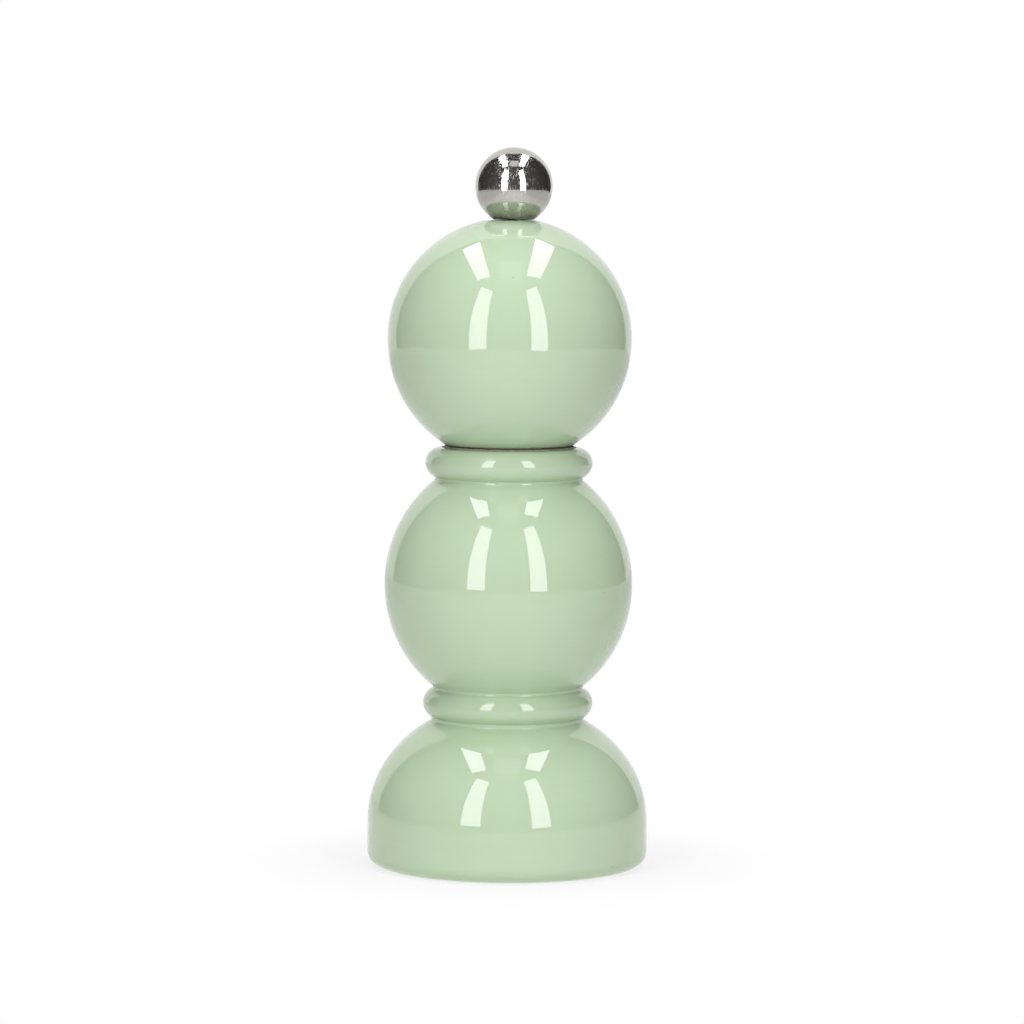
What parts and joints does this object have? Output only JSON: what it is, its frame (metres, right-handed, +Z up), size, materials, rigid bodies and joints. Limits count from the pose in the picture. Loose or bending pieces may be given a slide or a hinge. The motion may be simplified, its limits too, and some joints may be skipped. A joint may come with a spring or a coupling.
{
  "type": "pepper mill",
  "caption": "Bobbin-turned pepper mill with a lacquered wooden body, a turning head that drives ceramic burrs, and a ball knob that sets the grind.",
  "frame": {"origin": "centre of the circle that the foot stands on", "axes": "+Z up along the turning axis, towards the knob; +X and +Y are the bridge and cross directions, and the front is -Y"},
  "size_m": [0.0782, 0.0782, 0.2001],
  "materials": {
    "green_lacquer": "high gloss sage green lacquer over turned wood",
    "chrome": "polished",
    "aluminium": "drawn bar, satin",
    "stainless": "stamped or turned stainless steel",
    "spring_steel": "plain spring steel",
    "ceramic": "unglazed white technical ceramic",
    "black_plastic": "moulded, fine satin",
    "white_nylon": "turned nylon, satin"
  },
  "bodies": {
    "lower_half": {"body": "green_lacquer", "mechanism_housing": "black_plastic", "stator_burr": "ceramic", "retaining_bridge": "stainless", "bridge_screw_1": "stainless", "bridge_screw_2": "stainless", "flange_screw_1": "stainless", "flange_screw_2": "stainless"},
    "spring_seat": {"spring_washer": "stainless", "spring": "spring_steel"},
    "spindle_and_rotor": {"spindle": "aluminium", "rotor_core": "black_plastic", "rotor_burr": "ceramic", "feed_cap": "black_plastic", "rotor_washer": "stainless", "retaining_clip": "spring_steel"},
    "turning_head": {"head": "green_lacquer", "top_bush": "white_nylon", "drive_plate": "stainless", "drive_plate_screw_1": "stainless", "drive_plate_screw_2": "stainless"},
    "knob_seat": {"knob_washer": "white_nylon"},
    "ball_knob": {"knob": "chrome"}
  },
  "joints": [
    {"name": "head_turn", "type": "hinge", "parent": "lower_half", "child": "spring_seat", "pos_m": [0, 0, 0.1174], "axis": [0, 0, 1], "continuous": true},
    {"name": "grind_adjust", "type": "slide", "parent": "spring_seat", "child": "spindle_and_rotor", "axis": [0, 0, 1], "range_m": [0, 0.0015], "stiffness_N_per_m": 1500, "springref_m": -0.003, "deforming": ["spring"]},
    {"name": "head_lift", "type": "slide", "parent": "spring_seat", "child": "turning_head", "axis": [0, 0, 1], "range_m": [0, 0.095]},
    {"name": "knob_lift", "type": "slide", "parent": "turning_head", "child": "knob_seat", "axis": [0, 0, 1], "range_m": [0, 0.025]},
    {"name": "knob_turn", "type": "hinge", "parent": "knob_seat", "child": "ball_knob", "pos_m": [0, 0, 0.189], "axis": [0, 0, -1], "range_deg": [0, 675]}
  ],
  "couplings": [
    {"joint": "knob_turn", "follows": "grind_adjust", "rad_per_m": 7854}
  ]
}
